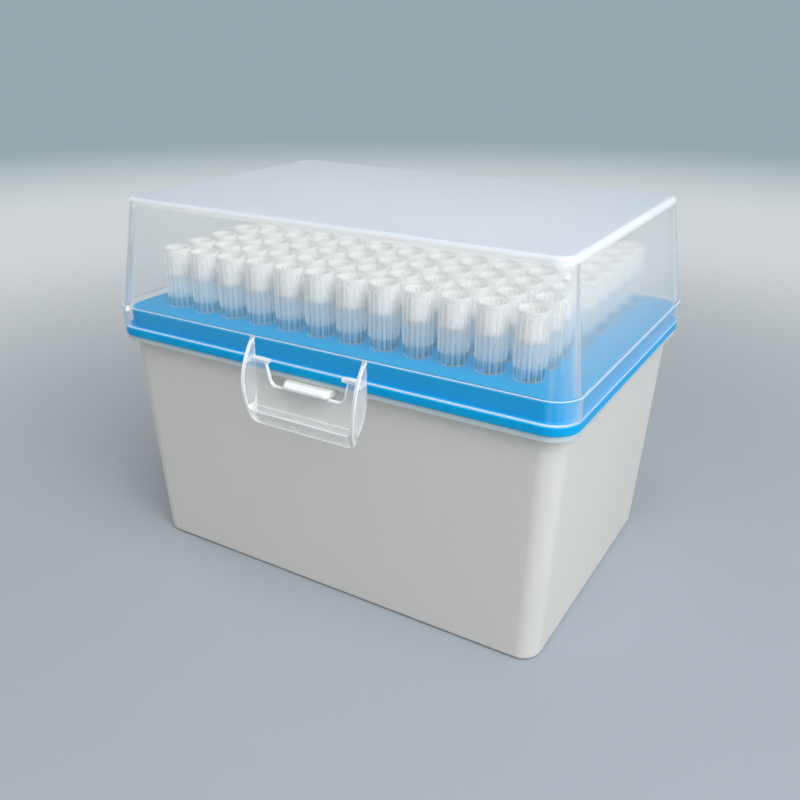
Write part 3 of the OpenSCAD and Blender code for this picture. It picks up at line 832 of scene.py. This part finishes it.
# tips and filters
tip = {"rim": 83.5, "length": 75.0, "rimR": 3.65, "rimH": 1.3, "collarR": 3.35, "ribOut": 0.25, "ribs": 16,
       "ribHalf": 0.24, "collarEnd": 71.0, "bodyR": 2.8, "waistR": 1.9, "waist": 38.0, "endR": 0.6,
       "endBore": 0.3, "wall": 0.5, "lean": 0.35, "filterH": 5.4, "filterDepth": 1.6, "filterGap": 0.03,
       "filterRound": 0.3, "filterSides": 28}
tipLook = {"milk": (0.92, 0.9, 0.875, 1), "haze": 0.08, "flow": 4.0, "flowHaze": 0.08, "edge": 0.4,
           "edgePower": 3.0, "rimHaze": 0.26, "mostHaze": 0.97, "rough": 0.2, "ior": 1.45, "specular": 0.35,
           "milky": [(71.0, 84.0, 1.0, 0.15), (77.0, 84.0, 1.2, 0.3), (82.9, 84.0, 0.15, 0.9)],
           "lightPasses": 0.94, "glow": 0.5, "passes": (0.975, 0.992, 1.0, 1), "rims": 0.45,
           "slots": (67.0, 70.6, 1.3), "slotShade": (0.45, 0.84, 0.9, 1),  # painted dark blue shade in the slots just above the deck
           # the lower collars' milk is painted bluish: painted light bounced up from the deck
           "deckLitMilk": (0.9, 0.96, 1.0, 1), "paintedDeckLight": (60.0, 76.0, 3.0)}
filterLook = {"colour": (0.79, 0.775, 0.755, 1), "shade": (0.76, 0.745, 0.725, 1), "bead": 0.35,
              "speckle": 3, "pit": 0.06, "pitBump": 0.8, "rough": 0.9, "specular": 0.2}


def makeTip():
    # rings of four points a rib: foot, crest, crest, foot
    shape, count = Shape(), tip["ribs"]
    angles = []
    for rib in range(count):
        middle = 360 / count * rib
        spread = math.degrees(tip["ribHalf"] / tip["collarR"])
        for shift in (-spread * 1.25, -spread * 0.8, spread * 0.8, spread * 1.25):
            angles.append(math.radians(middle + shift))

    def ring(radius, z, crest=None):
        radii = (radius, crest or radius, crest or radius, radius)
        return [(radii[k % 4] * math.cos(a), radii[k % 4] * math.sin(a), z) for k, a in enumerate(angles)]

    rim, rimR, collar, crest = tip["rim"], tip["rimR"], tip["collarR"], tip["collarR"] + tip["ribOut"]
    body, wall, deckTop, plate = tip["bodyR"], tip["wall"], deck["top"], deck["plate"]
    bore, seat = collar - wall, rim - tip["filterDepth"] - tip["filterH"]
    rimFoot, collarEnd, end = rim - tip["rimH"], tip["collarEnd"], rim - tip["length"]
    waistR, waist = tip["waistR"], tip["waist"]
    shape.loft([
        ring(bore, rim - 0.5), ring(bore + 0.2, rim - 0.07), ring(bore + 0.27, rim), ring(rimR - 0.16, rim),
        ring(rimR - 0.04, rim - 0.05), ring(rimR, rim - 0.18), ring(rimR, rimFoot + 0.15),
        ring(rimR - 0.05, rimFoot), ring(collar, rimFoot, crest), ring(collar, collarEnd + 0.2, crest),
        ring(collar - 0.06, collarEnd + 0.04, crest), ring(collar - 0.2, collarEnd, crest),
        ring(body, collarEnd, crest), ring(body, deckTop + 0.3, crest),
        ring(body, deckTop + 0.02, crest - 0.2), ring(body, deckTop), ring(body, deckTop - plate),
        ring(waistR, waist), ring(tip["endR"], end), ring(tip["endBore"], end), ring(waistR - wall, waist),
        ring(body - wall, deckTop - plate), ring(body - wall, seat - 0.05), ring(bore - 0.05, seat)],
        closed=True)  # from the bore's mouth over the rim, down the outside and up the bore
    return shape


def makeFilter():
    shape, count = Shape(), tip["filterSides"]
    radius = tip["collarR"] - tip["wall"] - tip["filterGap"]
    top = tip["rim"] - tip["filterDepth"]
    low, soft = top - tip["filterH"], tip["filterRound"]
    profile = ((radius * 0.5, low), (radius - soft, low), (radius - soft * 0.3, low + soft * 0.3),
               (radius, low + soft), (radius, top - soft), (radius - soft * 0.3, top - soft * 0.3),
               (radius - soft, top), (radius * 0.85, top - 0.03), (radius * 0.5, top + 0.02))
    turns = [2 * math.pi * k / count for k in range(count)]
    shape.loft([[(r * math.cos(turn), r * math.sin(turn), z) for turn in turns] for r, z in profile])
    return shape


def makeRows(tipMaterial, filterMaterial):
    single, plug = makeTip(), makeFilter()
    draws = random.Random(7)
    for row, letter in enumerate("abcdefgh"[:deck["rows"]]):
        tips, plugs = Shape(), Shape()
        y = (row - (deck["rows"] - 1) / 2) * deck["pitch"]
        for col in range(deck["cols"]):
            x = (col - (deck["cols"] - 1) / 2) * deck["pitch"]
            toward, lean = draws.uniform(0, 360), math.radians(draws.uniform(0, tip["lean"]))
            tilt = Matrix.Rotation(lean, 4, Vector((math.cos(toward), math.sin(toward), 0)))
            pivot, drop = Matrix.Translation((x, y, deck["top"])), Matrix.Translation((0, 0, -deck["top"]))
            place = pivot @ tilt @ Matrix.Rotation(toward, 4, "Z") @ drop
            tips.add(single, place)
            plugs.add(plug, place)
        piece("ribbed_tips_" + letter, [tips], "box", tipMaterial,
              ["tips_row_" + letter], 50, tipLook["rims"])
        piece("filter_plugs_" + letter, [plugs], "box", filterMaterial,
              ["filters_row_" + letter], 60)


makeRows(tipPlastic("tipPlastic", tipLook), porousFoam("filterFoam", filterLook))

# stage
stage = {"floor": 12.0, "floorColour": (0.37, 0.41, 0.445, 1), "floorRough": 0.7, "floorSpecular": 0.3,
         # glow and sky are colours the far floor glows in: painted light, lighter near the box and darker
         # further out
         "glow": (0.62, 0.66, 0.68, 1), "glowFrom": 0.1, "glowTo": 0.42,
         "sky": (0.31, 0.39, 0.42, 1), "skyFrom": 0.5, "skyTo": 0.95, "skyLight": 0.35,
         "skyTint": (1.0, 0.975, 0.935, 1), "bounces": 32, "aim": (0, 0, 0.05),
         "key": {"from": (0.44, -0.2, 0.36), "size": 0.42, "power": 1.82, "colour": (0.94, 0.985, 1.05)},
         "side": {"from": (-0.8, 0.1, 0.2), "size": 0.7, "power": 2.0, "colour": (0.97, 0.99, 1.03)},
         "top": {"from": (0.3, -0.22, 0.9), "size": 0.8, "power": 4.5, "colour": (0.995, 0.985, 0.985)}}
shot = {"azimuth": 30.82, "elevation": 23.88, "roll": 0.19, "distance": 237.42, "lens": 38.15,
        "target": (-0.04, -1.83, 40.18), "sensor": 36, "near": 0.01, "far": 50}


def makeStage():
    half, mesh = stage["floor"], bpy.data.meshes.new("floor_sheet")
    corners = [(-half, -half, 0), (half, -half, 0), (half, half, 0), (-half, half, 0)]
    mesh.from_pydata(corners, [], [(0, 1, 2, 3)])
    floor = bpy.data.objects.new("floor_sheet", mesh)
    bpy.context.scene.collection.objects.link(floor)
    finish = Finish(bpy.data.materials.new("floorPaint"))
    near = finish.principled(colour=stage["floorColour"], rough=stage["floorRough"],
                             specular=stage["floorSpecular"])
    away = finish.node("VectorMath", {"operation": "LENGTH"}, {0: finish.place}, output="Value")
    height = finish.between(away, stage["skyFrom"], stage["skyTo"])
    # painted light: the floor glows, in a lighter band near the box that darkens further out, for camera,
    # glossy and transmission rays
    far = finish.node("Emission", {}, {"Color": finish.colours(height, stage["glow"], stage["sky"])})
    seen = finish.rays("Camera", "Glossy", "Transmission")
    distant = finish.between(away, stage["glowFrom"], stage["glowTo"]) * seen
    mesh.materials.append(finish.done(finish.mixed(distant, near, far)))

    for name in ("key", "side", "top"):
        lamp = stage[name]
        light = bpy.data.lights.new(name + "_lamp", "AREA")
        light.shape, light.size = "DISK", lamp["size"]
        light.energy, light.color = lamp["power"], lamp["colour"]
        holder = bpy.data.objects.new(name + "_lamp", light)
        holder.location = lamp["from"]
        holder.rotation_mode = "QUATERNION"
        holder.rotation_quaternion = (Vector(stage["aim"]) - Vector(lamp["from"])).to_track_quat("-Z", "Y")
        bpy.context.scene.collection.objects.link(holder)

    sky = Finish(bpy.data.worlds.new("studio"))
    bpy.context.scene.world = sky.owner
    lights = sky.node("Background", {}, {"Color": stage["skyTint"], "Strength": stage["skyLight"]})
    seen = sky.node("Background", {}, {"Color": stage["sky"]})
    sky.done(sky.mixed(sky.rays("Camera", "Glossy", "Transmission"), lights, seen), "OutputWorld")
    bpy.context.scene.cycles.transparent_max_bounces = stage["bounces"]  # light crosses many thin tip walls


def makeCamera():
    azimuth, elevation, roll = (math.radians(shot[k]) for k in ("azimuth", "elevation", "roll"))
    back = Vector((math.sin(azimuth) * math.cos(elevation), -math.cos(azimuth) * math.cos(elevation),
                   math.sin(elevation)))
    right = Vector((math.cos(azimuth), math.sin(azimuth), 0))
    up = back.cross(right)
    right, up = math.cos(roll) * right + math.sin(roll) * up, math.cos(roll) * up - math.sin(roll) * right
    turn = Matrix((right, up, back)).transposed().to_4x4()
    data = bpy.data.cameras.new("camera")
    data.sensor_width, data.lens = shot["sensor"], shot["lens"]
    data.clip_start, data.clip_end = shot["near"], shot["far"]
    camera = bpy.data.objects.new("camera", data)
    camera.matrix_world = Matrix.Translation((Vector(shot["target"]) + back * shot["distance"]) * mm) @ turn
    bpy.context.scene.collection.objects.link(camera)
    bpy.context.scene.camera = camera


makeStage()
makeCamera()
bpy.context.scene.view_settings.view_transform = "Standard"
print("stage and camera set")
